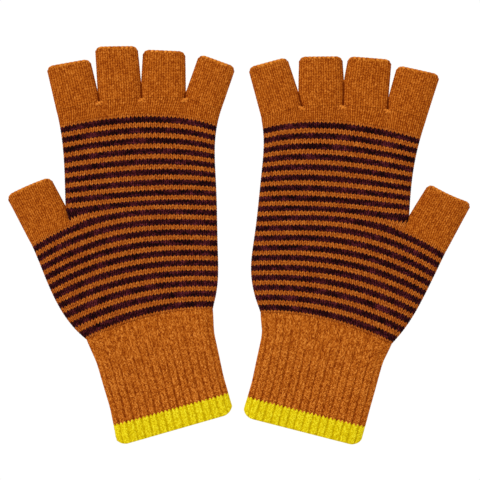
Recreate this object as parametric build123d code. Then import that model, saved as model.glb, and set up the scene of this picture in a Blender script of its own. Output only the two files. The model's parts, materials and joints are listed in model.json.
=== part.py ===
from build123d import *

import os

# A pair of fingerless knitted gloves that lie flat, palm side up, fingers towards +Y.
# Sizes are in millimetres. The left-hand glove is on the -X side, the right-hand glove on the
# +X side. Each glove is a set of flattened knitted tubes: a ribbed cuff with a coloured welt,
# a striped hand with a thumb gusset, a plain knuckle band, and five short open digit tubes
# that end in a bind-off edge. The pair is centred on its own box and rests on z = 0.

THICKNESS = 8.6        # height of a glove that lies flat and slightly open
WALL = 1.6             # thickness of the knitted fabric
BODY_GAP = 0.35        # clearance between a digit or cuff and the hand that it bends on
BIND_OFF = 2.6         # length of the rolled bind-off edge at each digit's mouth
CUT_MARGIN = 0.5       # how far a tube's hollow runs past its open ends
STITCH_RADIUS = 0.9    # thickness of the yarn that closes each finger crotch
STITCH_INSET = 1.8     # how far below the crotch that yarn sits
CUT_DEPTH = 400        # larger than a whole glove, for the cutting blocks

# A rung is the line across a tube from its left edge to its right edge, seen from above.
# Each tube is a loft through its rungs, from the wrist outwards.
LEFT = {
    "hand": [
        ((-84.6, -53.5), (-14.6, -36.5)),
        ((-90.5, -36.0), (-11.6, -22.0)),
        ((-95.5, -12.0), (-11.4, -4.0)),
        ((-98.6, 14.0), (-11.9, 18.0)),
        ((-99.5, 38.0), (-12.7, 40.0)),
        ((-101.0, 60.0), (-13.0, 60.0)),
        ((-104.2, 77.3), (-9.6, 77.9)),
        ((-107.4, 90.0), (-5.4, 90.0)),
    ],
    "gusset": [
        ((-86.7, -54.0), (-60.0, -47.5)),
        ((-99.4, -40.5), (-65.0, -30.0)),
        ((-108.7, -23.0), (-70.0, -8.0)),
        ((-115.0, -7.5), (-75.0, 13.0)),
        ((-120.0, 3.7), (-80.0, 25.5)),
    ],
    "stripe_top": ((-101.9, 67.5), (-12.2, 68.3)),
    "knuckles": [(-104.2, 77.3), (-79.7, 83.0), (-55.3, 84.8), (-30.4, 84.8), (-9.6, 77.9)],
    "tips": {
        "index": ((-109.9, 102.8), (-84.9, 107.2)),
        "middle": ((-82.0, 114.2), (-57.7, 114.5)),
        "ring": ((-54.3, 112.5), (-30.3, 111.4)),
        "little": ((-21.9, 110.0), (-1.3, 102.5)),
    },
    "thumb": [
        ((-120.0, 3.7), (-99.5, 14.9)),
        ((-122.9, 9.0), (-99.6, 21.7)),
        ((-132.9, 28.6), (-107.9, 39.4)),
    ],
    "cuff": [
        ((-86.7, -54.0), (-14.6, -36.5)),
        ((-81.6, -66.5), (-13.6, -49.0)),
        ((-73.6, -93.0), (-8.2, -74.8)),
        ((-69.0, -115.4), (-2.0, -96.2)),
    ],
    "welt_top": ((-71.8, -101.6), (-6.2, -83.4)),
}

RIGHT = {
    "hand": [
        ((13.2, -38.5), (85.8, -56.0)),
        ((8.5, -24.0), (91.0, -37.0)),
        ((8.1, -4.0), (95.5, -12.0)),
        ((10.9, 17.0), (98.2, 14.0)),
        ((13.3, 40.0), (100.1, 38.0)),
        ((14.7, 60.0), (104.4, 60.0)),
        ((13.4, 72.3), (108.2, 72.3)),
        ((9.4, 86.0), (112.9, 86.0)),
    ],
    "gusset": [
        ((61.0, -50.0), (88.1, -56.5)),
        ((66.0, -29.0), (100.6, -40.5)),
        ((73.0, -7.5), (110.0, -23.0)),
        ((79.0, 8.0), (116.3, -10.0)),
        ((85.8, 18.5), (120.9, -0.5)),
    ],
    "stripe_top": ((14.6, 67.2), (104.7, 60.9)),
    "knuckles": [(13.4, 73.6), (36.7, 80.0), (60.4, 80.6), (86.0, 78.4), (108.2, 72.8)],
    "tips": {
        "little": ((5.9, 102.2), (28.0, 108.2)),
        "ring": ((35.2, 108.4), (60.3, 108.6)),
        "middle": ((63.0, 108.7), (88.2, 106.7)),
        "index": ((91.6, 103.5), (116.0, 98.1)),
    },
    "thumb": [
        ((98.9, 11.4), (120.9, -0.5)),
        ((99.1, 18.3), (123.8, 4.9)),
        ((109.7, 35.6), (134.2, 24.3)),
    ],
    "cuff": [
        ((13.2, -38.5), (88.1, -56.5)),
        ((13.8, -50.0), (83.6, -66.5)),
        ((8.0, -77.7), (75.7, -94.6)),
        ((2.1, -98.2), (70.1, -115.6)),
    ],
    "welt_top": ((5.4, -85.9), (73.2, -105.2)),
}

GLOVES = {"left": LEFT, "right": RIGHT}
FINGERS = {"left": ["index", "middle", "ring", "little"], "right": ["little", "ring", "middle", "index"]}


def unit(rung):
    """The direction along a rung, from left to right."""
    left, right = (Vector(*end) for end in rung)
    return (right - left).normalized()


def outward(rung):
    """The direction away from the wrist: square to the rung, a quarter turn anticlockwise."""
    across = unit(rung)
    return Vector(-across.Y, across.X)


def shifted(rung, distance):
    """The rung moved away from the wrist by a distance."""
    step = outward(rung) * distance
    return tuple((x + step.X, y + step.Y) for x, y in rung)


def flat_section(rung, inset):
    """A section of a flattened tube over a rung: flat above and below, round at both sides."""
    left, right = (Vector(*end) for end in rung)
    middle = (left + right) / 2
    centre = Vector(middle.X, middle.Y, THICKNESS / 2)
    plane = Plane(origin=centre, x_dir=unit(rung), z_dir=-outward(rung))
    width = (right - left).length - 2 * inset
    return plane * SlotOverall(width, THICKNESS - 2 * inset)


def lofted(rungs, inset=0, ruled=False):
    """A solid flattened tube through the rungs; a hollow's ends run past the open ends."""
    if inset:
        rungs = [shifted(rungs[0], -CUT_MARGIN), *rungs[1:-1], shifted(rungs[-1], CUT_MARGIN)]
    return loft([flat_section(rung, inset) for rung in rungs], ruled=ruled)


def knitted_tube(rungs):
    """An open-ended tube of fabric."""
    return lofted(rungs, ruled=True) - lofted(rungs, WALL, ruled=True)


def side_of(shape, rung, keep_outer):
    """The part of a shape that lies beyond a rung's line, or short of it."""
    sides = {True: Keep.TOP, False: Keep.BOTTOM}
    left = Vector(*rung[0])
    plane = Plane(origin=left, x_dir=unit(rung), z_dir=outward(rung))
    return split(shape, bisect_by=plane, keep=sides[keep_outer])


def hand_shell(glove):
    """The hand and its thumb gusset as one hollow, open at the wrist, thumb and knuckles."""
    outer = lofted(glove["hand"]) + lofted(glove["gusset"])
    hollow = lofted(glove["hand"], WALL) + lofted(glove["gusset"], WALL)
    return (outer - hollow) & below_knuckles(glove["knuckles"])


def below_knuckles(knuckles):
    """A block whose far end follows the base lines of the four fingers."""
    first, last = knuckles[0], knuckles[-1]
    outline = Polyline(
        (first[0] - CUT_DEPTH, first[1]),
        *knuckles,
        (last[0] + CUT_DEPTH, last[1]),
        (last[0] + CUT_DEPTH, -CUT_DEPTH),
        (first[0] - CUT_DEPTH, -CUT_DEPTH),
        close=True,
    )
    return extrude(make_face(outline), amount=2 * THICKNESS, dir=(0, 0, 1))


def crotch_stitches(knuckles):
    """The yarn that joins the palm side to the back at each of the three finger crotches."""
    height = THICKNESS - 2 * WALL
    spots = [Pos(x, y - STITCH_INSET, THICKNESS / 2) for x, y in knuckles[1:-1]]
    return Compound([spot * Cylinder(STITCH_RADIUS, height) for spot in spots])


def finger_rungs(glove, place, name):
    """A finger's base rung, just clear of the knuckle line and its neighbours, and its tip."""
    base = (glove["knuckles"][place], glove["knuckles"][place + 1])
    along = unit(base) * (BODY_GAP / 2)
    narrowed = (
        (base[0][0] + along.X, base[0][1] + along.Y),
        (base[1][0] - along.X, base[1][1] - along.Y),
    )
    return [shifted(narrowed, BODY_GAP), glove["tips"][name]]


def digit(rungs, prefix):
    """A short tube for a finger or thumb, and the bind-off edge at its mouth."""
    tube = knitted_tube(rungs)
    edge_start = shifted(rungs[-1], -BIND_OFF)
    return {
        f"{prefix}_tube": side_of(tube, edge_start, False),
        f"{prefix}_edge": side_of(tube, edge_start, True),
    }


def cuff(glove, side):
    """The ribbed cuff and its welt. Their rungs run down from the wrist, so they are reversed."""
    rungs = list(reversed(glove["cuff"]))
    rungs[-1] = shifted(rungs[-1], -BODY_GAP)
    tube = knitted_tube(rungs)
    return {
        f"{side}_cuff_rib": side_of(tube, glove["welt_top"], True),
        f"{side}_cuff_welt": side_of(tube, glove["welt_top"], False),
    }


def glove_nodes(side):
    """Every node of one glove."""
    glove = GLOVES[side]
    shell = hand_shell(glove)
    nodes = {
        f"{side}_hand_stripes": side_of(shell, glove["stripe_top"], False),
        f"{side}_knuckle_band": side_of(shell, glove["stripe_top"], True),
        f"{side}_crotch_stitches": crotch_stitches(glove["knuckles"]),
    }
    nodes.update(cuff(glove, side))
    for place, name in enumerate(FINGERS[side]):
        nodes.update(digit(finger_rungs(glove, place, name), f"{side}_{name}"))
    thumb = [shifted(glove["thumb"][0], BODY_GAP), *glove["thumb"][1:]]
    nodes.update(digit(thumb, f"{side}_thumb"))
    return nodes


def centring(nodes):
    """The move that puts the middle of the pair's box over the origin."""
    boxes = [shape.bounding_box() for shape in nodes.values()]
    middle_x = (min(box.min.X for box in boxes) + max(box.max.X for box in boxes)) / 2
    middle_y = (min(box.min.Y for box in boxes) + max(box.max.Y for box in boxes)) / 2
    return Pos(-middle_x, -middle_y, 0)


nodes = {**glove_nodes("left"), **glove_nodes("right")}
centre_move = centring(nodes)
os.makedirs("parts", exist_ok=True)
for name, shape in nodes.items():
    export_step(centre_move * shape, f"parts/{name}.step")
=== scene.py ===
import json
import math

import bpy
import numpy as np
from mathutils.bvhtree import BVHTree
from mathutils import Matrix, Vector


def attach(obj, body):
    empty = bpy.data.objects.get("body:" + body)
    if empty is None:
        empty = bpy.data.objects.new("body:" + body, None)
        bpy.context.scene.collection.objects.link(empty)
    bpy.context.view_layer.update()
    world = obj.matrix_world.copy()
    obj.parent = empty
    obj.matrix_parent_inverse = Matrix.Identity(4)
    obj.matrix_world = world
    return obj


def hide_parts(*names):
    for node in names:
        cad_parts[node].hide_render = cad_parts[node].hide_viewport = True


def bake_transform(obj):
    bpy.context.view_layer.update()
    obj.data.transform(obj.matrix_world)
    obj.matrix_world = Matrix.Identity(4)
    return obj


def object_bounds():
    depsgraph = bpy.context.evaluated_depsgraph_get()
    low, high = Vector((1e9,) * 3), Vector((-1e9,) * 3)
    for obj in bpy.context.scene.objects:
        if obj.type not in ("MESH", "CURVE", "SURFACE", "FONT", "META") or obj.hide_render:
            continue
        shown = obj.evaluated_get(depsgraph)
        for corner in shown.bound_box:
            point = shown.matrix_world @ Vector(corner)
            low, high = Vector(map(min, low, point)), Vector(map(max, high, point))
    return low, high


# A pair of fingerless knitted gloves. Every fabric piece is a closed shell of real stitches:
# its outer skin is a fine grid, laid along the knit's wales and courses and raised into them.
# Lengths are in millimetres until a mesh is written. Each glove is worked out with its thumb
# towards -X; the right-hand glove is that layout mirrored.
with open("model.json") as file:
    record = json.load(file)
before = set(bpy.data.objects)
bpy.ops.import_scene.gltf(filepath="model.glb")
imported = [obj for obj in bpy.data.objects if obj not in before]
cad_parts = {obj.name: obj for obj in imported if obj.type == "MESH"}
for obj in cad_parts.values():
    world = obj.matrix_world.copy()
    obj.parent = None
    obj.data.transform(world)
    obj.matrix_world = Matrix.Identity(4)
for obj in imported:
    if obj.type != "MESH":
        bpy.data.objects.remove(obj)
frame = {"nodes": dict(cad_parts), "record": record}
cad_low, cad_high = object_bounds()
record = frame["record"]
JOINTS = {joint["name"]: joint for joint in record["behaviour"]["joints"]}
MOUNTS = {mount["name"]: mount for mount in record["mounts"]}

METRE = 1000.0
FLIP = {"left": 1.0, "right": -1.0}
FINGERS = ["index", "middle", "ring", "little"]
THICKNESS = cad_high.z * METRE
MIDDLE = THICKNESS / 2

HAND_REACH = 40.0        # less than half the width of the hand

# The gauge of the knit.
COURSE = 1.5             # height of a course
COLUMNS = 6              # mesh columns to a wale
STEPS = 4                # mesh rows to a course
PALM_WALES = 40
FINGER_WALES = 10
THUMB_WALES = 12
RIBS = 16                # ribs across one side of the cuff
SPILL = 0.13             # how far a dark stripe reaches beyond its two courses
SLANT = 0.75             # how far a leg of the V climbs, in courses
RIB_SLANT = 1.0          # the same on the wider wales of the rib

# Courses are counted from the lower edge of the last dark stripe.
FIRST = -1.0             # where the hand meets the cuff
GUSSET_TOP = 39.0        # where the thumb leaves the gusset
CROTCH = 40.0            # where the thumb and the hand become tubes of their own
BAND = 75.0              # where the plain knuckle band starts
TOP = 81.0               # where the fingers start
WELT_COURSES = 8         # courses from the orange rib to the cuff's rim

# The fabric's relief and folds.
HALF = 3.95              # half the thickness of the flattened hand
FOLD = 9.5               # how far in from a fold the fabric still curves
STITCH = 0.34            # height of a stitch
SLACK = 0.035            # how far a digit's stitches stray, in wales or courses
CREASE = 1.2             # how far the painted shade in the crease between two touching fingers darkens them
WALL = 1.4               # thickness of the fabric
RIB_DEEP = 0.55          # height of a rib near the welt
RIB_SHALLOW = 0.15       # height of a rib at the hand
RIB_SHADE = 0.28         # painted shade: how much darker the wool is in the grooves between the ribs
WELT_SHADE = 0.62        # the same in the welt
GROOVE_DRIFT = 0.6       # how unevenly that painted shade darkens the grooves
RIB_START = 1.2          # courses over which the plain knit passes into rib
CUFF_HALF = 0.86         # how thick the cuff is, as a share of the hand
# Shares of the cuff's length over which it thins, its ribs rise, and the painted shade of their grooves
# comes to show.
CUFF_THINS, RIB_RISES, RIB_SHOWS = 0.35, 0.5, 0.45
RIM_CORNER = 6.0         # reach of the cuff mouth's rounded corners
RIM_PULL = 5.1           # how far those corners are drawn up
RIM_HEIGHT = 14.0        # height over which its rows bend with them
EDGE_RADIUS = 1.25       # radius of the rolled bind-off edge
EDGE_INWARD = 0.75       # how far in from the last row its middle lies, in radii
EDGE_FLAT = 0.9          # how much it is flattened
EDGE_SIDES = 20          # mesh columns round it
SNUG = 0.25              # how far the knit's folds lie inside the CAD's, for its relief
RIB_SNUG = 0.6           # the same for the cuff, whose ribs stand higher
RIM_SNUG = 0.8           # the same for the cuff's rim, which is rounded
LIP_ROWS = 6             # mesh rows over that rounding
CORNER = 2.9             # reach of a digit's rounded corners across its mouth
CORNER_PULL = 1.7        # how far those corners are pulled back
MOUTH_START = 0.6        # share of a digit's length above which its rows bend with its mouth
INSET = 0.8              # how far the inner skin keeps from a fold
LEAST_GAP = 0.08         # the least height of the inner skin above the glove's middle
DIGIT_BEND = (0.0, 8.0)  # where a digit's bend starts and ends beyond its joint
CUFF_BEND = (2.0, 14.0)  # the same for the cuff's bend below the wrist
YARN_DROP = 1.3          # how far below its crotch a crotch stitch lies
# Half the width and half the height that each of its yarns spans, its lift and its radius.
CROTCH_YARNS = ((2.1, 1.0, 0.4, 0.95), (-1.4, 1.3, 0.2, 0.55))
SAME_POINT = 2e-7        # grid, in metres, on which two points of a shell count as one

CROTCH_SHIFT = 1.5       # how far the thumb's crotch lies past the inner side of the CAD's thumb
GUSSET_DROP = 3.2        # how far below the outer side of the CAD's thumb the gusset ends
NEAR_RISE = 2.7          # how far above the thumb's crotch the next course meets the near edge
FAR_RISE = 6.0           # how far above it the gusset's last course meets the far edge

PATH_POINTS = 60         # points of a digit's side
PATH_EASING = 6          # times that its corners are smoothed

# How far neighbouring fingers touch above each crotch, and how far sideways their slit has
# drifted by then, from the index finger's on.
TOUCH = {
    "left": [(4.2, 0.0), (6.8, 0.0), (2.4, 0.0)],
    "right": [(5.5, 0.7), (12.6, 0.0), (7.5, 0.8)],
}
# How far two neighbouring fingers' mouths each keep in, so that both can bend.
ROOM = {"left": [0.14, 0.0, 0.0], "right": [0.08, 0.44, 0.0]}
# The course at which a gap opens between the thumb and the hand.
THUMB_PARTS = {"left": 42.5, "right": 41.25}
# How a course leaves the left edge and meets the right one: its two angles off the chord, in
# degrees, and how far along the chord each holds; for a family's first course and for its last.
LOW_BEND = np.array([(13.5, -16, 0.31, 0.34), (20.5, -13, 0.46, 0.34)])
HIGH_BEND = np.array([(2.5, -6, 0.33, 0.31), (12.5, -20, 0.33, 0.31)])
# How many courses above the crotch the hand's edge has settled again.
SETTLED = {"left": 2.0, "right": 0.3}
# How far the middle of the thumb's mouth is drawn in.
THUMB_DISH = {"left": -0.5, "right": 0.8}


# ---------------- reading the frame
def smooth(t):
    t = np.clip(t, 0, 1)
    return t * t * (3 - 2 * t)


def mix(a, b, t):
    return a + (b - a) * t


def plan_point(side, pos):
    return np.array([pos[0] * FLIP[side], pos[1]]) * METRE


def turned(v):
    """A quarter turn anticlockwise."""
    return np.array([-v[1], v[0]])


def unit(v):
    return v / np.linalg.norm(v)


def node_points(side, name):
    """A CAD node's vertices, in millimetres, in the glove's own layout."""
    mesh = frame["nodes"][name].data
    points = np.empty(len(mesh.vertices) * 3)
    mesh.vertices.foreach_get("co", points)
    return points.reshape(-1, 3) * [METRE * FLIP[side], METRE, METRE]


def rung(side, name, origin, across):
    """The left and right ends of a CAD tube on the line through origin."""
    reach = 0.8          # how far off the line a vertex may lie
    points = node_points(side, name)[:, :2] - origin
    near = np.abs(points @ turned(across)) < reach
    along = points[near] @ across
    return origin + across * along.min(), origin + across * along.max()


def base_rung(side, digit):
    joint = JOINTS[f"{side}_{digit}_bend"]
    across = np.array([joint["axis"][0], joint["axis"][1] * FLIP[side]])
    return rung(side, f"{side}_{digit}_tube", plan_point(side, joint["pos_m"]), across)


def mouth_rung(side, tube, node):
    """The ends of a tube's mouth, from its mount: left first, as seen along the tube."""
    mount = MOUNTS[f"{side}_{tube}_mouth"]
    out = np.array([mount["axis"][0] * FLIP[side], mount["axis"][1]])
    return rung(side, f"{side}_{node}", plan_point(side, mount["pos_m"]), -turned(out))


def cad_tree(side, names):
    """A search tree of some CAD nodes, in the glove's own layout."""
    points, faces = [], []
    for name in names:
        start = len(points)
        points.extend(node_points(side, name).tolist())
        for face in frame["nodes"][name].data.polygons:
            faces.append([start + corner for corner in face.vertices])
    return BVHTree.FromPolygons(points, faces)


def side_hit(tree, centre, direction):
    """Where the CAD's outer wall lies, coming in along a direction towards the centre."""
    far, off_seam = 300.0, 0.3
    start = centre - direction * far
    hit = tree.ray_cast((start[0], start[1], MIDDLE + off_seam), (direction[0], direction[1], 0))[0]
    return np.array([hit[0], hit[1]]) if hit else np.full(2, np.nan)


def hand_rail(side, way, low, high, first=(), last=()):
    """The hand's edge as heights and places across; way is 1 for the left edge, -1 for the right.
    It may begin or end at a given point."""
    hand = node_points(side, f"{side}_hand_stripes")
    tree = cad_tree(side, [f"{side}_hand_stripes", f"{side}_knuckle_band"])
    inside = hand[:, 0].max() - HAND_REACH
    heights = np.linspace(low, high, 50)
    hits = np.array([side_hit(tree, np.array([inside, y]), np.array([way, 0.0])) for y in heights])
    points = [(x + way * SNUG, y) for y, x in zip(heights, hits[:, 0])]
    return np.array([*first, *points, *last])[:, ::-1].T


def cuff_rails(side, wrist, mouth):
    """The cuff's left and right edges, from the wrist to the mouth."""
    tree = cad_tree(side, [f"{side}_cuff_rib", f"{side}_cuff_welt"])
    left, right = [wrist[0]], [wrist[1]]
    for share in np.linspace(0.04, 0.97, 16):
        ends = mix(wrist[0], mouth[0], share), mix(wrist[1], mouth[1], share)
        across = unit(ends[1] - ends[0])
        centre = (ends[0] + ends[1]) / 2
        snug = across * RIB_SNUG * smooth(share / 0.3)
        left.append(side_hit(tree, centre, across) + snug)
        right.append(side_hit(tree, centre, -across) - snug)
    across = unit(mouth[1] - mouth[0])
    rim = turned(across) * RIM_SNUG
    left.append(mouth[0] + across * RIB_SNUG + rim)
    right.append(mouth[1] - across * RIB_SNUG + rim)
    return np.array(left), np.array(right)


# ---------------- folds and spacing
ANGLES = np.linspace(0, math.pi / 2, 240)
FOLD_X = FOLD * (1 - np.cos(ANGLES))
FOLD_S = np.concatenate(
    ([0], np.cumsum(np.hypot(np.diff(FOLD_X), np.diff(HALF * np.sin(ANGLES)))))
)
FOLD_EXTRA = FOLD_S[-1] - FOLD


def eased(distance, weight):
    """How far in a point lies whose fabric distance from a fold is known."""
    curved = np.where(distance < FOLD_S[-1], np.interp(distance, FOLD_S, FOLD_X), distance - FOLD_EXTRA)
    return weight * curved + (1 - weight) * distance


def spread(length, count, left=1.0, right=1.0):
    """Places of equally wide wales across a row, closer together where the fabric folds over."""
    total = length + FOLD_EXTRA * (left + right)
    fabric = np.linspace(0, total, count + 1)
    from_left = eased(fabric, left)
    from_right = length - eased(total - fabric, right)
    return np.where(fabric < total / 2, from_left, from_right)


def path_lengths(points):
    return np.concatenate(([0], np.cumsum(np.linalg.norm(np.diff(points, axis=0), axis=1))))


def along_path(points, distances):
    lengths = path_lengths(points)
    return np.stack([np.interp(distances, lengths, points[:, k]) for k in (0, 1)], axis=-1)


def course_line(start, end, lean_left, lean_right, grip_left, grip_right):
    """A course's curve from edge to edge; the leans are its end angles off the chord."""
    chord = end - start
    reach = np.linalg.norm(chord)
    heading = math.atan2(chord[1], chord[0])
    first = heading + math.radians(lean_left)
    last = heading + math.radians(lean_right)
    a = start + reach * grip_left * np.array([math.cos(first), math.sin(first)])
    b = end - reach * grip_right * np.array([math.cos(last), math.sin(last)])
    t = np.linspace(0, 1, 161)[:, None]
    return (1 - t) ** 3 * start + 3 * (1 - t) ** 2 * t * a + 3 * (1 - t) * t * t * b + t**3 * end


def rounded_path(points):
    """A path of evenly spaced points through the given ones, with its corners eased."""
    path = along_path(points, np.linspace(0, path_lengths(points)[-1], PATH_POINTS))
    for _ in range(PATH_EASING):
        path[1:-1] = (path[:-2] + 2 * path[1:-1] + path[2:]) / 4
    return path


# ---------------- one glove's layout
class Layout:
    """Where every edge, course and fold of one glove lies, seen from above."""

    def __init__(self, side):
        self.side = side
        self.bases = {digit: base_rung(side, digit) for digit in ["thumb", *FINGERS]}
        self.mouths = {digit: mouth_rung(side, digit, f"{digit}_edge") for digit in ["thumb", *FINGERS]}
        self.find_crotches()
        self.find_hand()
        self.find_palm_edge()
        self.find_cuff()
        self.find_digit_rails()
        self.find_folds()

    def find_crotches(self):
        """The thumb's crotch and the four fingers' base corners."""
        outer, inner = self.bases["thumb"]
        self.thumb_crotch = inner + unit(inner - outer) * CROTCH_SHIFT
        corners = [self.bases["index"][0]]
        for near, far in zip(FINGERS, FINGERS[1:]):
            corners.append((self.bases[near][1] + self.bases[far][0]) / 2)
        self.corners = [*corners, self.bases["little"][1]]

    def find_hand(self):
        """The hand's edges: on the thumb's side near_low and near_high, below and above the thumb,
        and far on the other. Each is a rail, and the courses at which it reaches some heights."""
        side = self.side
        joint = JOINTS[f"{side}_wrist_bend"]
        origin = plan_point(side, joint["pos_m"])
        across = -np.array([joint["axis"][0], joint["axis"][1] * FLIP[side]])
        self.wrist = rung(side, f"{side}_cuff_rib", origin, across)
        band = node_points(side, f"{side}_knuckle_band")
        middle = (band[:, 0].min() + band[:, 0].max()) / 2
        band_left = band[band[:, 0] < middle - HAND_REACH][:, 1].min()
        band_right = band[band[:, 0] > middle + HAND_REACH][:, 1].min()
        crotch = self.thumb_crotch[1]
        gusset_top = self.bases["thumb"][0][1] - GUSSET_DROP
        wrist_left, wrist_right = self.wrist[0][1], self.wrist[1][1]
        index_left, little_right = self.corners[0][1], self.corners[-1][1]
        up, down = 3, 2      # how far off the wrist and off the other corners the CAD is read
        first, last = [self.wrist[1]], [self.corners[-1]]
        near_low = hand_rail(side, 1, wrist_left + up, gusset_top, first=[self.wrist[0]])
        near_high = hand_rail(side, 1, crotch + down, index_left - down, last=[self.corners[0]])
        far = hand_rail(side, -1, wrist_right + up, little_right - down, first, last)
        far_heights = [wrist_right, crotch + FAR_RISE, band_right, little_right]
        near_heights = [crotch + NEAR_RISE, band_left, index_left]
        self.near_low = near_low, [FIRST, GUSSET_TOP], [wrist_left, gusset_top]
        self.near_high = near_high, [CROTCH, BAND - 1, TOP], near_heights
        self.far = far, [FIRST, GUSSET_TOP, BAND - 1, TOP], far_heights

    def on_edge(self, edge, course):
        """Where a course meets an edge of the hand."""
        rail, courses, heights = edge
        y = np.interp(course, courses, heights)
        return np.array([np.interp(y, *rail), y])

    def low_course(self, course):
        """A course below the thumb, from the gusset's edge to the far side."""
        share = (course - FIRST) / (GUSSET_TOP - FIRST)
        start, end = self.on_edge(self.near_low, course), self.on_edge(self.far, course)
        if course <= FIRST:
            start, end = self.wrist
        return course_line(start, end, *mix(*LOW_BEND, share))

    def high_course(self, course):
        """A course above the thumb, from edge to edge of the hand."""
        share = (min(course, BAND) - CROTCH) / (BAND - CROTCH)
        start, end = self.on_edge(self.near_high, course), self.on_edge(self.far, course)
        if course >= TOP:
            start, end = self.corners[0], self.corners[-1]
        return course_line(start, end, *mix(*HIGH_BEND, share))

    def find_palm_edge(self):
        """The palm's left edge above the gusset, and how much of it the thumb is knitted to."""
        self.left_courses = np.arange(GUSSET_TOP * STEPS, TOP * STEPS + 1) / STEPS
        self.palm_left = self.palm_rows(self.left_courses)[:, 0]
        self.thumb_joined = path_lengths(self.palm_left[self.left_courses <= CROTCH])[-1]

    def gusset_width(self, course):
        outer, inner = self.bases["thumb"]
        full = np.linalg.norm(inner - outer) + CROTCH_SHIFT
        return full * np.clip((course - FIRST) / (GUSSET_TOP - FIRST), 0, 1)

    def palm_of_low(self, course):
        """The palm's share of a low course: all of it but the gusset."""
        line = self.low_course(course)
        gusset = self.gusset_width(course)
        at_wrist = 1 - smooth((course - FIRST) / 6)
        length = path_lengths(line)[-1] - gusset
        return along_path(line, gusset + spread(length, PALM_WALES * COLUMNS, at_wrist, 1))

    def top_row(self):
        """The hand's last course: the base lines of the four fingers end to end."""
        parts = []
        for a, b in zip(self.corners, self.corners[1:]):
            places = spread(np.linalg.norm(b - a), FINGER_WALES * COLUMNS)
            parts.append(a + unit(b - a) * places[:, None])
        return np.concatenate([parts[0], *[part[1:] for part in parts[1:]]])

    def palm_rows(self, courses):
        """Rows of the palm. Around the thumb's crotch the lower courses pass into the upper ones:
        at once beside the thumb, over a dozen courses further across."""
        low_edge, low_step = self.edge_and_step(self.palm_of_low, GUSSET_TOP - 1, GUSSET_TOP)
        high_edge, high_step = self.edge_and_step(self.palm_of_high, CROTCH + 1, CROTCH)
        across = smooth(np.linspace(0, 1, PALM_WALES * COLUMNS + 1) * 6)
        start = mix(GUSSET_TOP, GUSSET_TOP - 4, across)
        end = mix(CROTCH + SETTLED[self.side], CROTCH + 5, across)
        change = self.top_row() - self.palm_of_high(TOP)
        rows = []
        for course in courses:
            low = low_edge + low_step * (course - GUSSET_TOP)
            if course < GUSSET_TOP:
                low = self.palm_of_low(course)
            high = high_edge + high_step * (CROTCH - course)
            if course > CROTCH:
                high = self.palm_of_high(course)
            row = mix(low, high, smooth((course - start) / (end - start))[:, None])
            rows.append(row + change * smooth((course - BAND + 2) / (TOP - BAND + 2)))
        return np.array(rows)

    def edge_and_step(self, family, before, last):
        """A family's last row, and the step that carries it on."""
        row = family(last)
        return row, row - family(before)

    def palm_of_high(self, course):
        line = self.high_course(course)
        return along_path(line, spread(path_lengths(line)[-1], PALM_WALES * COLUMNS))

    def gusset_rows(self, courses):
        """Rows of the gusset, whose wales end one by one at its inner border."""
        full = self.gusset_width(GUSSET_TOP)
        places = spread(full, THUMB_WALES * COLUMNS, 1, 0)
        rows = []
        for course in courses:
            width = self.gusset_width(course)
            rows.append(along_path(self.low_course(course), np.minimum(places, width)))
        return np.array(rows), places, np.array([self.gusset_width(c) for c in courses])

    def find_cuff(self):
        mouth = mouth_rung(self.side, "cuff", "cuff_welt")[::-1]
        self.cuff_left, self.cuff_right = cuff_rails(self.side, self.wrist, mouth)
        self.cuff_length = path_lengths(self.cuff_left)[-1]

    def cuff_rows(self, shares):
        """Rows of the cuff; the first follows the hand's last course."""
        lift = self.palm_of_low(FIRST) - self.straight_cuff_row(0.0)
        return np.array([self.straight_cuff_row(s) + lift * (1 - smooth(s / 0.3)) for s in shares])

    def straight_cuff_row(self, share):
        left = along_path(self.cuff_left, share * path_lengths(self.cuff_left)[-1])
        right = along_path(self.cuff_right, share * path_lengths(self.cuff_right)[-1])
        places = spread(np.linalg.norm(right - left), PALM_WALES * COLUMNS)
        return left + unit(right - left) * places[:, None]

    def find_digit_rails(self):
        """The two edges of each digit, from its first course to its mouth."""
        self.rails = {}
        for place, digit in enumerate(FINGERS):
            left_mouth, right_mouth = self.mouths[digit]
            inward = unit(right_mouth - left_mouth)
            left = self.finger_rail(self.corners[place], place - 1, left_mouth, inward)
            right = self.finger_rail(self.corners[place + 1], place, right_mouth, -inward)
            self.rails[digit] = left, right
        self.find_thumb_rails()

    def finger_rail(self, base, crotch, mouth, inward):
        """One edge of a finger. An edge at a crotch follows the slit between the two fingers."""
        path = [base]
        if 0 <= crotch < len(FINGERS) - 1:
            path.append(base + self.slit(crotch))
            mouth = mouth + inward * ROOM[self.side][crotch]
        return rounded_path(np.array([*path, mouth]))

    def slit(self, crotch):
        """The step from a finger crotch to where the two fingers part."""
        height, sideways = TOUCH[self.side][crotch]
        near, far = (self.bases[digit] for digit in FINGERS[crotch : crotch + 2])
        way = unit(turned(unit(near[1] - near[0])) + turned(unit(far[1] - far[0])))
        return way * height + np.array([sideways, 0.0])

    def find_thumb_rails(self):
        """The thumb's inner edge keeps to the hand's for a few courses, and then parts from it."""
        outer, inner = self.mouths["thumb"]
        start = self.on_edge(self.near_low, GUSSET_TOP)
        shared = self.palm_left[self.left_courses <= THUMB_PARTS[self.side]]
        self.rails["thumb"] = (
            rounded_path(np.array([start, self.bases["thumb"][0], outer])),
            np.concatenate([shared, rounded_path(np.array([shared[-1], inner]))[1:]]),
        )

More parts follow.
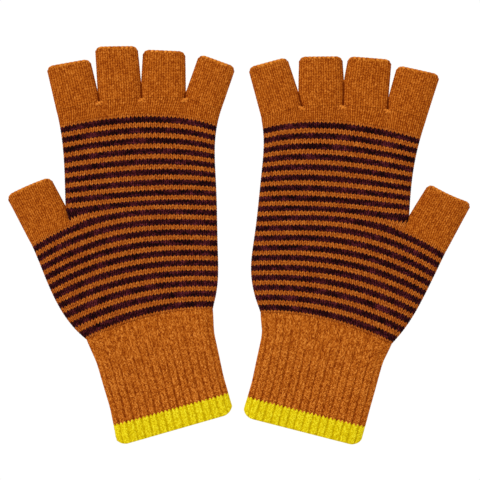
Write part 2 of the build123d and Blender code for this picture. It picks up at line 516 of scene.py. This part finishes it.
    def find_folds(self):
        """Every line along which the palm side and the back fold into each other."""
        low = [self.on_edge(self.near_low, course) for course in np.linspace(1, GUSSET_TOP, 30)]
        high = self.palm_left[self.left_courses >= CROTCH]
        far = [self.on_edge(self.far, course) for course in np.linspace(1, TOP, 60)]
        thumb_left, thumb_right = self.rails["thumb"]
        free = thumb_right[path_lengths(thumb_right) > self.thumb_joined]
        folds = [
            np.array([*self.cuff_left[::-1], *low, *thumb_left]),
            np.array([*free[::-1], *high, *self.rails["index"][0]]),
            np.array([*self.cuff_right[::-1], *far, *self.rails["little"][1]]),
        ]
        for near, next_digit in zip(FINGERS, FINGERS[1:]):
            folds.append(np.array([*self.rails[near][1][::-1], *self.rails[next_digit][0]]))
        starts = np.concatenate([fold[:-1] for fold in folds])
        ends = np.concatenate([fold[1:] for fold in folds])
        self.fold_starts, self.fold_spans = starts, ends - starts

    def fold_distance(self, points):
        """How far each point lies from the nearest fold."""
        flat = points.reshape(-1, 2)
        best = np.full(len(flat), 1e9)
        for start, span in zip(self.fold_starts, self.fold_spans):
            size = span @ span
            if size < 1e-9:
                continue
            offset = flat - start
            share = np.clip(offset @ span / size, 0, 1)
            gap = offset - share[:, None] * span
            best = np.minimum(best, np.einsum("ij,ij->i", gap, gap))
        return np.sqrt(best).reshape(points.shape[:-1])

    def half_height(self, points):
        """Half the thickness of the flattened glove over each point."""
        near = np.clip(1 - self.fold_distance(points) / FOLD, 0, 1)
        return HALF * np.sqrt(1 - near**2)


# ---------------- stitches
def stitch_grid(plan, courses):
    """The wale and the course of each point of a plan."""
    wale = np.broadcast_to(np.arange(plan.shape[1]) / COLUMNS, plan.shape[:2])
    return wale, np.broadcast_to(courses[:, None], plan.shape[:2])


def strand_relief(row):
    """The relief of strands that lie side by side, one to a course."""
    return 0.3 + 0.7 * np.abs(np.sin(math.pi * row)) ** 0.7


def plain_relief(wale, course):
    """Relief of plain knit, 0 to 1, and the course that each point's own strand belongs to: two
    rounded legs to a stitch climb away from the V's foot, with a groove between them."""
    from_foot = np.abs(2 * (wale % 1) - 1)
    row = course - SLANT * (from_foot - 0.5)
    leg = np.clip(np.sin(math.pi * from_foot), 0, 1)
    return np.sqrt(leg) * strand_relief(row), row


def drift(plan, amount):
    """How far the stitches of slack fabric stray from their wales or courses."""
    x, y = plan[..., 0], plan[..., 1]
    return amount * np.sin(1.9 * x + 1.1 * y + 1.7 * np.sin(0.9 * y)) * np.cos(1.3 * y - 0.7 * x)


def rib_relief(rib, course):
    """One by one rib: the height of each rib's ridge, its stitches' relief, and their courses.
    The V of the knit wale fills the ridge; the purl wale hides in the narrow groove."""
    across = np.abs(2 * (rib % 1) - 1)
    ridge = 1 - smooth((across - 0.55) / 0.45)
    climb = 1 - np.abs(2 * across - 1)
    row = course - RIB_SLANT * (climb - 0.5)
    leg = np.sin(math.pi * (0.16 + across * 0.76))
    return ridge, np.sqrt(leg) * strand_relief(row), row


def normals_of(points):
    """Unit normals of a grid of points that face up on the palm side."""
    down = np.gradient(points, axis=0)
    over = np.gradient(points, axis=1)
    normal = np.cross(over, down)
    size = np.linalg.norm(normal, axis=2, keepdims=True)
    up = np.array([0.0, 0.0, 1.0])
    return np.where(size > 1e-9, normal / np.maximum(size, 1e-9), up)


# ---------------- meshes
class Shell:
    """Collects grids of points into one mesh, with the stitch coordinates its material reads."""

    def __init__(self, side):
        self.side = side
        self.points, self.faces = [], []
        self.values = {"course": [], "leg": [], "relief": []}
        self.count = 0

    def add_points(self, points, course, leg, relief):
        flat = points.reshape(-1, 3)
        start = self.count
        self.points.append(flat)
        for name, value in (("course", course), ("leg", leg), ("relief", relief)):
            self.values[name].append(np.broadcast_to(value, points.shape[:-1]).reshape(-1))
        self.count += len(flat)
        return start + np.arange(len(flat)).reshape(points.shape[:-1])

    def add_grid(self, ids, facing_up, wrap=False):
        """Quads over a grid of point numbers."""
        nxt = np.roll(ids, -1, axis=1) if wrap else ids[:, 1:]
        own = ids if wrap else ids[:, :-1]
        quads = np.stack([own[:-1], nxt[:-1], nxt[1:], own[1:]], axis=-1).reshape(-1, 4)
        self.faces.append(quads if facing_up else quads[:, ::-1])

    def build(self, name):
        """The mesh object, in metres, with its doubled points joined."""
        points = np.concatenate(self.points) * [FLIP[self.side] / METRE, 1 / METRE, 1 / METRE]
        faces = np.concatenate(self.faces)
        keys = np.round(points / SAME_POINT).astype(np.int64)
        _, first, back = np.unique(keys, axis=0, return_index=True, return_inverse=True)
        points, faces = points[first], back.reshape(-1)[faces]
        if FLIP[self.side] < 0:
            faces = faces[:, ::-1]
        mesh = bpy.data.meshes.new(name)
        mesh.from_pydata(points.tolist(), [], clean_faces(faces))
        for key, parts in self.values.items():
            layer = mesh.attributes.new(key, "FLOAT", "POINT")
            layer.data.foreach_set("value", np.concatenate(parts)[first].astype(np.float32))
        mesh.polygons.foreach_set("use_smooth", np.ones(len(mesh.polygons), dtype=bool))
        mesh.update()
        piece = bpy.data.objects.new(name, mesh)
        bpy.context.scene.collection.objects.link(piece)
        return piece

    def finish(self, name, node, material):
        """The mesh as a piece that stands in for one CAD node of its glove."""
        piece = self.build(f"{self.side}_{name}")
        piece.data.materials.append(material)
        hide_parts(f"{self.side}_{node}")
        return piece


def clean_faces(faces):
    """Faces without repeated corners; those with fewer than three are left out."""
    repeated = faces == np.roll(faces, -1, axis=1)
    spoiled = repeated.any(axis=1)
    short = [face[~repeats].tolist() for face, repeats in zip(faces[spoiled], repeated[spoiled])]
    return faces[~spoiled].tolist() + [face for face in short if len(set(face)) > 2]


def mirrored(points):
    """The same points on the back of the glove."""
    return points * [1, 1, -1] + [0, 0, 2 * MIDDLE]


def raised(plan, half):
    """Points over the plan at half a thickness above the middle."""
    return np.concatenate([plan, (MIDDLE + half)[..., None]], axis=-1)


def inner_skin(plan, half, left_fold, right_fold):
    """The fabric's inner side: lower by the wall, and kept in from the folds."""
    lengths = np.linalg.norm(plan - plan[:, :1], axis=2)
    total = lengths[:, -1:]
    way = (plan[:, -1:] - plan[:, :1]) / np.maximum(total, 1e-6)[..., None]
    from_left = np.exp(-lengths / 2) * left_fold[:, None]
    from_right = np.exp(-(total - lengths) / 2) * right_fold
    shift = INSET * (from_left - from_right)
    height = np.where(half < 1e-6, 0, np.maximum(half - WALL, LEAST_GAP))
    return raised(plan + way * shift[..., None], height)


def add_slab(shell, outer, inner, stitches, borders, keep=None):
    """Both skins of a sheet of fabric on the palm side and on the back, joined at its borders.

    borders names the sides to close; keep lists the rows that the inner skin has. For each side
    of the glove this gives the skins' point numbers, which way it faces and how it is placed."""
    course, leg, relief = stitches
    keep = keep or sparse(len(outer))
    sides = []
    for facing_up, place in ((True, lambda p: p), (False, mirrored)):
        out_ids = shell.add_points(place(outer), course, leg, relief)
        in_ids = shell.add_points(place(inner[keep]), course[keep], leg[keep], 0.5)
        shell.add_grid(out_ids, facing_up)
        shell.add_grid(in_ids, not facing_up)
        if "bottom" in borders:
            shell.add_grid(np.stack([in_ids[0], out_ids[0]]), facing_up)
        if "top" in borders:
            shell.add_grid(np.stack([out_ids[-1], in_ids[-1]]), facing_up)
        sides.append((out_ids, in_ids, facing_up, place))
    return sides


def sparse(rows):
    """The rows that an inner skin keeps: one to every two courses, and the last."""
    keep = list(range(0, rows, 2 * STEPS))
    return keep if keep[-1] == rows - 1 else [*keep, rows - 1]


def undulation(plan, side):
    """The slow unevenness of fabric that lies loosely."""
    x, y = plan[..., 0] / 10, plan[..., 1] / 10
    shift = 1.3 if side == "left" else 4.1
    return 0.12 * np.sin(1.1 * x + 0.6 * y + shift) + 0.1 * np.sin(0.5 * x - 1.3 * y + 2 * shift)


def outer_skin(plan, half, relief, side):
    """The fabric's outer side: raised into its stitches, and a little uneven where it lies flat."""
    base = raised(plan, half)
    skin = base + normals_of(base) * (relief * STITCH)[..., None]
    skin[..., 2] -= undulation(plan, side) * smooth(half / HALF) * (half > 1)
    return skin


def blend_over(piece, side, part, joint_name, first, last):
    """Bakes a piece's placement into its mesh; it does not bend it, and the joint and the two distances
    are not used.
    """
    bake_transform(piece)


# ---------------- the hand
def palm_slab(layout, courses):
    """The palm's outer and inner skins over some courses, with their stitches."""
    plan = layout.palm_rows(courses)
    half = layout.half_height(plan)
    half[:, -1] = 0
    folded = courses >= CROTCH
    half[folded, 0] = 0
    wale, course = stitch_grid(plan, courses)
    relief, row = plain_relief(wale, course)
    outer = outer_skin(plan, half, relief, layout.side)
    inner = inner_skin(plan, half, folded.astype(float), 1.0)
    return outer, inner, (row, wale * 2, relief)


def gusset_slab(layout, courses):
    """The gusset's skins. Its wales are counted from the gusset's outer edge."""
    plan, places, widths = layout.gusset_rows(courses)
    half = layout.half_height(plan)
    half[:, 0] = 0
    wale, course = stitch_grid(plan, courses)
    relief, row = plain_relief(wale, course)
    ended = places[None, :] >= widths[:, None] - 1e-6
    relief = np.where(ended, 0, relief)
    outer = outer_skin(plan, half, relief, layout.side)
    inner = inner_skin(plan, half, np.ones(len(courses)), 0.0)
    return outer, inner, (row, wale * 2 + 0.5, relief)


def make_hand(layout, material):
    """The striped hand with its gusset, and the knuckle band above it."""
    side = layout.side
    courses = np.arange(FIRST * STEPS, BAND * STEPS + 1) / STEPS
    outer, inner, stitches = palm_slab(layout, courses)
    low = np.arange(FIRST * STEPS, GUSSET_TOP * STEPS + 1) / STEPS
    shell = Shell(side)
    add_slab(shell, outer, inner, stitches, ("bottom", "top"))
    gusset_outer, gusset_inner, gusset_stitches = gusset_slab(layout, low)
    gusset_outer[:, -1] = outer[: len(low), 0]
    add_slab(shell, gusset_outer, gusset_inner, gusset_stitches, ("top",))
    hand = shell.finish("hand_knit", "hand_stripes", material["striped"])
    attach(hand, f"{side}_hand")

    courses = np.arange(BAND * STEPS, TOP * STEPS + 1) / STEPS
    outer, inner, stitches = palm_slab(layout, courses)
    shell = Shell(side)
    add_slab(shell, outer, inner, stitches, ("bottom", "top"))
    band = shell.finish("knuckle_knit", "knuckle_band", material["plain"])
    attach(band, f"{side}_hand")


# ---------------- digits
def digit_grid(layout, digit):
    """A digit's rows from its first course to its mouth, and how many courses it has."""
    settling = 4         # courses over which the thumb's rows straighten
    folding = 6          # courses over which its inner side comes to fold
    left, right = layout.rails[digit]
    wales = THUMB_WALES if digit == "thumb" else FINGER_WALES
    reach = (path_lengths(left)[-1] + path_lengths(right)[-1]) / 2 - EDGE_RADIUS
    total = round(reach / COURSE)
    shares = np.linspace(0, 1, total * STEPS + 1)
    cut = 1 - EDGE_RADIUS / (reach + EDGE_RADIUS)
    rows = []
    for share in shares:
        a = along_path(left, share * cut * path_lengths(left)[-1])
        b = along_path(right, share * cut * path_lengths(right)[-1])
        fold = smooth(share * total / folding) if digit == "thumb" else 1.0
        across = b - a
        places = spread(np.linalg.norm(across), wales * COLUMNS, 1.0, fold)
        row = a + unit(across) * places[:, None]
        if digit == "thumb" and share * total < settling:
            first = layout.gusset_rows([GUSSET_TOP])[0][0]
            chord = first[0] + (first[-1] - first[0]) * (places / places[-1])[:, None]
            row = row + (first - chord) * (1 - share * total / settling)
        dish = THUMB_DISH[layout.side] if digit == "thumb" else 0
        pull = mouth_pull(places, dish) * smooth((share - MOUTH_START) / (1 - MOUTH_START))
        rows.append(row - turned(unit(across)) * pull[:, None])
    return np.array(rows), total


def mouth_pull(places, dish):
    """How far a digit's mouth is drawn in: at its rounded corners, and by a dish between them."""
    corner = np.clip(1 - np.minimum(places, places[-1] - places) / CORNER, 0, 1)
    return CORNER_PULL * (1 - np.sqrt(1 - corner**2)) + dish * (1 - (2 * places / places[-1] - 1) ** 2)


def crease_shade(layout, digit, plan):
    """Painted shade: 1, but less along the creases where a finger touches its neighbours above the
    crotch.
    """
    shade = np.ones(plan.shape[:2])
    if digit == "thumb":
        return shade
    place = FINGERS.index(digit)
    for column, crotch in ((0, place - 1), (-1, place)):
        if 0 <= crotch < len(FINGERS) - 1:
            rail = plan[:, [column]]
            up = np.linalg.norm(rail - rail[:1], axis=2)
            joined = 1 - smooth(up - TOUCH[layout.side][crotch][0])
            near = 1 - smooth(np.linalg.norm(plan - rail, axis=2) / CREASE)
            shade -= joined * near
    return shade


def make_digit(layout, digit, material):
    """A digit's tube and the edge at its mouth. The thumb's right side folds only where it has
    parted from the hand."""
    side = layout.side
    plan, total = digit_grid(layout, digit)
    half = layout.half_height(plan)
    half[:, 0] = 0
    if digit == "thumb":
        rail = np.linspace(0, 1, len(plan)) * path_lengths(layout.rails[digit][1])[-1]
        half[rail > layout.thumb_joined, -1] = 0
        first, wale_start = GUSSET_TOP, 0
    else:
        half[:, -1] = 0
        first, wale_start = TOP, FINGERS.index(digit) * FINGER_WALES
    wale, course = stitch_grid(plan, first + np.linspace(0, total, len(plan)))
    wale = wale_start + wale
    strays = drift(plan, SLACK), drift(plan[..., ::-1], SLACK)
    relief, row = plain_relief(wale + strays[0], course + strays[1])
    outer = outer_skin(plan, half, relief, side)
    inner = inner_skin(plan, half, np.ones(len(plan)), 1.0)
    # painted shade along the creases between touching fingers, in the colour only
    relief = relief * crease_shade(layout, digit, plan)
    shell = Shell(side)
    add_slab(shell, outer, inner, (row, wale * 2, relief), ("bottom", "top"))
    tube = shell.finish(f"{digit}_knit", f"{digit}_tube", material["plain"])
    blend_over(tube, side, digit, digit, *DIGIT_BEND)
    make_edge(layout, digit, plan[-1], half[-1], wale[-1], material)


def full_turn(sides):
    return np.linspace(0, 2 * math.pi, sides, endpoint=False)


def rings(path, first, second, turns, radius):
    """Rings of points round a path, in the plane of two directions at each of its points."""
    over = first[:, None] * (np.cos(turns) * radius)[..., None]
    return path[:, None] + over + second[:, None] * (np.sin(turns) * radius)[..., None]


def edge_path(row, half, across):
    """The middle of a mouth's rolled edge: along the last row's palm side and back underneath."""
    inward = EDGE_RADIUS * EDGE_INWARD
    out = turned(across)
    width = np.linalg.norm(row[-1] - row[0])
    places = (row - row[0]) @ across
    squeeze = 1 - 2 * inward / width
    front = row[0] + across * (width / 2 + (places - width / 2) * squeeze)[:, None]
    front = raised(front + out * ((row - row[0]) @ out)[:, None], np.maximum(half - inward, 0))
    return np.concatenate([front, mirrored(front)[-2:0:-1]])


def make_edge(layout, digit, row, half, wale, material):
    """The rolled bind-off edge: a closed cord of slanting stitches round the mouth."""
    side = layout.side
    across = unit(row[-1] - row[0])
    path = edge_path(row, half, across)
    legs = np.concatenate([wale, wale[-1] + (wale[-1] - wale)[-2:0:-1]])
    tangent = np.roll(path, -1, axis=0) - np.roll(path, 1, axis=0)
    tangent[0], tangent[len(row) - 1] = (0.0, 0.0, 1.0), (0.0, 0.0, -1.0)
    tangent /= np.linalg.norm(tangent, axis=1, keepdims=True)
    away = np.array([*turned(across), 0.0])
    sideways = np.cross(tangent, away)
    sideways /= np.maximum(np.linalg.norm(sideways, axis=1, keepdims=True), 1e-9)
    turns = full_turn(EDGE_SIDES)
    twist = np.abs(np.sin(math.pi * legs[:, None] + turns[None, :] * 0.5))
    radius = EDGE_RADIUS * (0.84 + 0.2 * np.sqrt(twist))
    ring = rings(path, away[None], sideways * EDGE_FLAT, turns, radius)
    shell = Shell(side)
    # the cord's twist also sets its relief, and the material paints shade where that is low
    ids = shell.add_points(ring, legs[:, None], turns[None, :] / math.pi, np.sqrt(twist))
    shell.add_grid(np.concatenate([ids, ids[:1]]), True, wrap=True)
    edge = shell.finish(f"{digit}_bind_off", f"{digit}_edge", material["edge"])
    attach(edge, f"{side}_{digit}")


# ---------------- cuff
def cuff_skins(layout, shares, length):
    """Rows of rib between two shares of the cuff's length, down from the hand."""
    plan = rounded_rim(layout.cuff_rows(shares), shares * length, length)
    half = layout.half_height(plan) * mix(1, CUFF_HALF, smooth(shares / CUFF_THINS))[:, None]
    half[:, [0, -1]] = 0
    wale, course = stitch_grid(plan, FIRST - shares * length / COURSE)
    rib = wale * RIBS / PALM_WALES
    ridge, stitch, row = rib_relief(rib, course)
    plain, plain_row = plain_relief(wale, course)
    begun = smooth(shares * length / COURSE / RIB_START)[:, None]
    depth = mix(RIB_SHALLOW, RIB_DEEP, smooth(shares / RIB_RISES))[:, None]
    height = mix(plain * STITCH, ridge * depth + stitch * STITCH, begun)
    base = raised(plan, half)
    outer = base - normals_of(base) * height[..., None]
    inner = inner_skin(plan, half, np.ones(len(plan)), 1.0)
    # painted shade in the grooves between the ribs, deepest in the welt
    groove_shade_depth = mix(RIB_SHADE, WELT_SHADE, smooth((shares - 0.6) / 0.3))[:, None]
    groove_shade = groove_shade_depth * (1 + drift(plan, GROOVE_DRIFT)) * (1 - ridge)
    clear = smooth(shares / RIB_SHOWS)[:, None]
    shade = mix(plain, mix(0.3 + 0.5 * stitch, stitch * (1 - groove_shade), clear), begun)
    return outer, inner, (mix(plain_row, row, begun), rib * 4, shade)


def rounded_rim(plan, down, length):
    """Rows whose ends are drawn up near the rim, so that the mouth has rounded corners."""
    across = unit(plan[-1, -1] - plan[-1, 0])
    places = (plan[-1] - plan[-1, 0]) @ across
    corner = np.clip(1 - np.minimum(places, places[-1] - places) / RIM_CORNER, 0, 1)
    pull = RIM_PULL * (1 - np.sqrt(1 - corner**2))
    share = smooth(1 - (length - down) / RIM_HEIGHT)
    return plan + turned(across) * (share[:, None] * pull)[..., None]


def make_cuff(layout, material):
    """The orange rib and the yellow welt below it."""
    side = layout.side
    length = layout.cuff_length
    count = round(length / COURSE)
    split = count - WELT_COURSES
    shares = np.arange(split * STEPS + 1) / (count * STEPS)
    outer, inner, stitches = cuff_skins(layout, shares, length)
    shell = Shell(side)
    add_cuff_slab(shell, outer, inner, stitches, ("bottom", "top"))
    rib = shell.finish("cuff_knit", "cuff_rib", material["rib"])
    blend_over(rib, side, "cuff", "wrist", *CUFF_BEND)

    shares = np.arange(split * STEPS, count * STEPS + 1) / (count * STEPS)
    outer, inner, stitches = cuff_skins(layout, shares, length)
    row, leg, relief = stitches
    shell = Shell(side)
    stitches = (-row - split + FIRST, leg, relief)
    sides = add_cuff_slab(shell, outer, inner, stitches, ("top",))
    add_lip(shell, outer, inner, stitches, sides)
    welt = shell.finish("welt_knit", "cuff_welt", material["welt"])
    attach(welt, f"{side}_cuff")


def add_cuff_slab(shell, outer, inner, stitches, borders):
    """A slab whose rows run down the glove, and so are turned about."""
    keep = sorted(len(outer) - 1 - row for row in sparse(len(outer)))
    stitches = [value[::-1] for value in stitches]
    return add_slab(shell, outer[::-1], inner[::-1], stitches, borders, keep)


def add_lip(shell, outer, inner, stitches, sides):
    """The rim, where the fabric's last row rounds over the wall."""
    course, leg, relief = (value[-1:] for value in stitches)
    out = unit((outer[-1] - outer[-5]).mean(axis=0)[:2])
    angles = np.linspace(0, math.pi, LIP_ROWS + 2)[1:-1]
    for out_ids, in_ids, facing_up, place in sides:
        top, bottom = place(outer)[-1], place(inner)[-1]
        centre, arm = (top + bottom) / 2, (top - bottom) / 2
        reach = np.minimum(np.linalg.norm(arm, axis=1, keepdims=True), WALL / 2)
        away = np.array([out[0], out[1], 0.0]) * reach
        rings = [centre + arm * math.cos(a) + away * math.sin(a) for a in angles]
        ring_ids = shell.add_points(np.array(rings), course, leg, relief)
        shell.add_grid(np.concatenate([in_ids[:1], ring_ids[::-1], out_ids[:1]]), facing_up)


# ---------------- crotch stitches
def yarn(shell, path, radius):
    """A short thick yarn along a path, closed at its ends."""
    sides = 10
    tangent = np.gradient(path, axis=0)
    tangent /= np.linalg.norm(tangent, axis=1, keepdims=True)
    sideways = np.cross(tangent, [0.0, 0.0, 1.0])
    sideways /= np.linalg.norm(sideways, axis=1, keepdims=True)
    upward = np.cross(sideways, tangent)
    turns = full_turn(sides)
    taper = np.sqrt(np.clip(1 - np.linspace(-1, 1, len(path)) ** 6, 0.02, 1)) * radius
    ring = rings(path, sideways, upward, turns, taper[:, None])
    twist = np.linspace(0, 5, len(path))[:, None] + turns[None, :] / (2 * math.pi)
    # the relief between the yarn's plies paints shade into its colour
    ids = shell.add_points(ring, twist, twist, 0.4 + 0.6 * np.abs(np.sin(math.pi * twist)))
    shell.add_grid(ids, False, wrap=True)
    for end in (0, -1):
        centre = shell.add_points(ring[end].mean(axis=0)[None], 0.0, 0.0, 0.6)
        after = np.roll(ids[end], -1)
        fan = np.stack([np.full(sides, centre[0]), ids[end], after, after], axis=-1)
        shell.faces.append(fan[:, ::-1] if end else fan)


def make_crotch_stitches(layout, material):
    """Two crossing yarns at each finger crotch, a long one over a short one, on both sides."""
    shell = Shell(layout.side)
    for corner in layout.corners[1:-1]:
        for reach, rise, lift, radius in CROTCH_YARNS:
            t = np.linspace(-1, 1, 13)
            plan = corner + np.stack([t * reach, t * rise - YARN_DROP], axis=-1)
            half = np.maximum(layout.half_height(plan[None])[0], 0.7)
            path = raised(plan, half + lift * (1 - t**2))
            yarn(shell, path, radius)
            yarn(shell, mirrored(path), radius)
    yarns = shell.finish("crotch_yarn", "crotch_stitches", material["stitch"])
    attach(yarns, f"{layout.side}_hand")


# ---------------- materials
# A yarn's colour in the painted shade deep in its grooves, on its body and on its lightest fibres.
ORANGE = (0.195, 0.026, 0.001), (0.465, 0.110, 0.006), (0.79, 0.28, 0.042)
STRIPE_ORANGE = (0.185, 0.028, 0.003), (0.46, 0.112, 0.0095), (0.79, 0.287, 0.048)
RIB_ORANGE = (0.20, 0.028, 0.001), (0.48, 0.117, 0.007), (0.82, 0.295, 0.046)
MAROON = (0.003, 0.001, 0.0012), (0.040, 0.0044, 0.0060), (0.17, 0.026, 0.034)
YELLOW = (0.52, 0.36, 0.0), (0.80, 0.61, 0.003), (0.96, 0.88, 0.035)
EDGE = (0.27, 0.045, 0.002), (0.56, 0.155, 0.010), (0.85, 0.33, 0.055)
STITCH_YARN = (0.28, 0.05, 0.003), (0.60, 0.165, 0.013), (0.88, 0.35, 0.06)
RIB_GRAIN = 1.45         # how much stronger the grain of the wool shows in the rib
MARL = 0.035             # how much lighter or darker a yarn turns along its course
DARK_MARL = 0.26         # the same for the marled yarn of the dark stripes
FLECKS = 1700.0          # how fine the flecks in the wool are, in noise cells to a metre
FIBRES = 3600.0          # the same for its fibres
FUZZ = 1200.0            # the same for the fuzzy borders of the stripes
NAP = 2600.0             # the same for the bump of its surface


class Nodes:
    """A short way to write node trees."""

    def __init__(self, name):
        self.material = bpy.data.materials.new(name)
        self.material.use_nodes = True
        self.tree = self.material.node_tree
        self.shader = self.tree.nodes["Principled BSDF"]

    def put(self, socket, value):
        """Links a socket to another, or gives it a value of its own."""
        if isinstance(value, bpy.types.NodeSocket):
            self.tree.links.new(value, socket)
        else:
            socket.default_value = value

    def fill(self, node, inputs):
        for name, value in inputs.items():
            self.put(next(s for s in node.inputs if s.name == name and s.enabled), value)

    def add(self, kind, *values, **settings):
        """A new node, with its settings and its first inputs."""
        node = self.tree.nodes.new(f"ShaderNode{kind}")
        for name, setting in settings.items():
            setattr(node, name, setting)
        for socket, value in zip(node.inputs, values):
            self.put(socket, value)
        return node

    def math(self, operation, *values):
        return self.add("Math", *values, operation=operation).outputs[0]

    def mix(self, share, a, b):
        """One colour passing into another."""
        node = self.add("Mix", data_type="RGBA")
        self.fill(node, {"Factor": share, "A": a, "B": b})
        return next(s for s in node.outputs if s.enabled)

    def attribute(self, name):
        return self.add("Attribute", attribute_name=name).outputs["Fac"]

    def noise(self, scale, detail=2.0, rough=0.5, place=None):
        """Noise over a given place, or else over the object's own space."""
        place = place or self.add("TexCoord").outputs["Object"]
        node = self.add("TexNoise", place)
        self.fill(node, {"Scale": scale, "Detail": detail, "Roughness": rough})
        return node.outputs["Fac"]

    def joined(self, *values):
        return self.add("CombineXYZ", *values).outputs[0]

    def stretch(self, value, low, high, new_low, new_high):
        return self.add("MapRange", value, low, high, new_low, new_high).outputs[0]

    def along_course(self):
        """Noise that runs along each course, as where a marled yarn turns lighter or darker."""
        leg = self.math("MULTIPLY", self.attribute("leg"), 0.16)
        course = self.math("MULTIPLY", self.math("FLOOR", self.attribute("course")), 7.3)
        return self.noise(1.0, 1.5, place=self.joined(leg, course))

    def per_strand(self, plies=1.0):
        """A random value for each leg of each stitch, or for shorter stretches of its plies."""
        scaled = [self.math("MULTIPLY", self.attribute(name), plies) for name in ("course", "leg")]
        cell = self.joined(*[self.math("FLOOR", value) for value in scaled])
        return self.add("TexWhiteNoise", cell, noise_dimensions="3D").outputs["Value"]


def wool_light(nodes, marling=MARL, grain=1.0):
    """How light a spot of wool is, 0 to 1: darkest deep in the grooves, as painted shade drawn from the
    relief, lighter on the strands. Strands differ from each other, and fine fibres and flecks break up
    each of them."""
    # painted shade: the lower the relief, the darker the wool
    light = nodes.stretch(nodes.attribute("relief"), 0.1, 1.0, 0.0, 0.60)
    strand = nodes.stretch(nodes.per_strand(), 0.0, 1.0, -0.10, 0.10)
    ply = nodes.stretch(nodes.per_strand(2.0), 0.0, 1.0, -0.20 * grain, 0.19 * grain)
    fleck = nodes.stretch(nodes.noise(FLECKS, 2.0, 0.6), 0.32, 0.68, -0.24 * grain, 0.23 * grain)
    fibre = nodes.stretch(nodes.noise(FIBRES, 2.0, 0.6), 0.3, 0.7, -0.14, 0.14)
    marl = nodes.stretch(nodes.along_course(), 0.3, 0.7, -marling, marling)
    for part in (strand, ply, fleck, fibre, marl):
        light = nodes.math("ADD", light, part)
    return light


def wool_colour(nodes, light, yarn_colour):
    """A yarn's colours from the painted shade of its grooves to its lightest fibres."""
    ramp = nodes.add("ValToRGB", light)
    ramp.color_ramp.elements.new(0.45)
    for element, colour in zip(ramp.color_ramp.elements, yarn_colour):
        element.color = (*colour, 1.0)
    return ramp.outputs[0]


def stripe_mask(nodes):
    """1 on the dark stripes: two courses dark, two orange, above the first course."""
    course = nodes.attribute("course")
    fuzz = nodes.stretch(nodes.noise(FUZZ), 0.3, 0.7, -0.12, 0.12)
    course = nodes.math("ADD", course, fuzz)
    beat = nodes.math("FLOORED_MODULO", nodes.math("ADD", course, SPILL), 4.0)
    dark = nodes.math("LESS_THAN", beat, 2.0 + 2 * SPILL)
    started = nodes.math("GREATER_THAN", course, -0.5)
    ended = nodes.math("LESS_THAN", course, BAND - 0.9)
    return nodes.math("MULTIPLY", nodes.math("MULTIPLY", dark, started), ended)


def finish_wool(nodes, colour):
    bump = nodes.add("Bump")
    nodes.fill(bump, {"Strength": 0.6, "Distance": 0.00018, "Height": nodes.noise(NAP, 3.0, 0.6)})
    surface = {"Base Color": colour, "Roughness": 0.95, "Specular IOR Level": 0.04}
    nodes.fill(nodes.shader, {**surface, "Normal": bump.outputs[0]})
    return nodes.material


def plain_wool(name, yarn_colour, grain=1.0):
    nodes = Nodes(name)
    return finish_wool(nodes, wool_colour(nodes, wool_light(nodes, grain=grain), yarn_colour))


def striped_wool():
    nodes = Nodes("striped_wool")
    orange = wool_colour(nodes, wool_light(nodes), STRIPE_ORANGE)
    maroon = wool_colour(nodes, wool_light(nodes, DARK_MARL), MAROON)
    return finish_wool(nodes, nodes.mix(stripe_mask(nodes), orange, maroon))


def welt_wool():
    """Yellow, with the last orange stitches reaching into its first course."""
    nodes = Nodes("welt_wool")
    light = wool_light(nodes, grain=RIB_GRAIN)
    orange = wool_colour(nodes, light, RIB_ORANGE)
    yellow = wool_colour(nodes, light, YELLOW)
    started = nodes.math("GREATER_THAN", nodes.attribute("course"), 0.5)
    return finish_wool(nodes, nodes.mix(started, orange, yellow))


def make_materials():
    return {
        "striped": striped_wool(),
        "plain": plain_wool("plain_wool", ORANGE),
        "edge": plain_wool("edge_wool", EDGE),
        "rib": plain_wool("rib_wool", RIB_ORANGE, RIB_GRAIN),
        "stitch": plain_wool("stitch_wool", STITCH_YARN),
        "welt": welt_wool(),
    }


# ---------------- stage
def make_floor():
    """A lit white card, bright enough that no shadow shows on it."""
    bpy.ops.mesh.primitive_plane_add(size=6.0, location=(0, 0, -0.0002))
    floor = bpy.context.object
    floor.name = "floor"
    nodes = Nodes("white_card")
    nodes.fill(nodes.shader, {"Base Color": (0, 0, 0, 1), "Specular IOR Level": 0.0})
    nodes.fill(nodes.shader, {"Emission Color": (1, 1, 1, 1), "Emission Strength": 1.02})
    floor.data.materials.append(nodes.material)


def make_key_light():
    """A soft square lamp to the upper left, pointed at the middle of the pair."""
    data = bpy.data.lights.new("key", "AREA")
    data.size = 0.9
    data.energy = 55
    lamp = bpy.data.objects.new("key", data)
    lamp.location = x, y, z = -2.0, 2.35, 2.7
    lamp.rotation_euler = (math.atan2(math.hypot(x, y), z), 0, math.atan2(-y, -x) - math.pi / 2)
    bpy.context.scene.collection.objects.link(lamp)


def make_lighting():
    """White light from all round, and the key light."""
    world = bpy.data.worlds.new("studio")
    world.use_nodes = True
    background = world.node_tree.nodes["Background"]
    background.inputs["Color"].default_value = (1, 1, 1, 1)
    background.inputs["Strength"].default_value = 0.85
    bpy.context.scene.world = world
    make_key_light()
    bpy.context.scene.view_settings.view_transform = "Standard"


def make_camera():
    """Straight above the pair, with a long lens; the frame is a little wider than the pair."""
    distance, field, sensor = 3.0, 0.2760, 36.0
    data = bpy.data.cameras.new("camera")
    data.sensor_width = sensor
    data.lens = sensor * distance / field
    camera = bpy.data.objects.new("camera", data)
    camera.location = (0.00055, 0.00371, distance)
    bpy.context.scene.collection.objects.link(camera)
    bpy.context.scene.camera = camera


make_camera()
make_floor()
make_lighting()
wools = make_materials()
for glove_side in FLIP:
    glove = Layout(glove_side)
    make_hand(glove, wools)
    make_cuff(glove, wools)
    for digit_name in ["thumb", *FINGERS]:
        make_digit(glove, digit_name, wools)
    make_crotch_stitches(glove, wools)
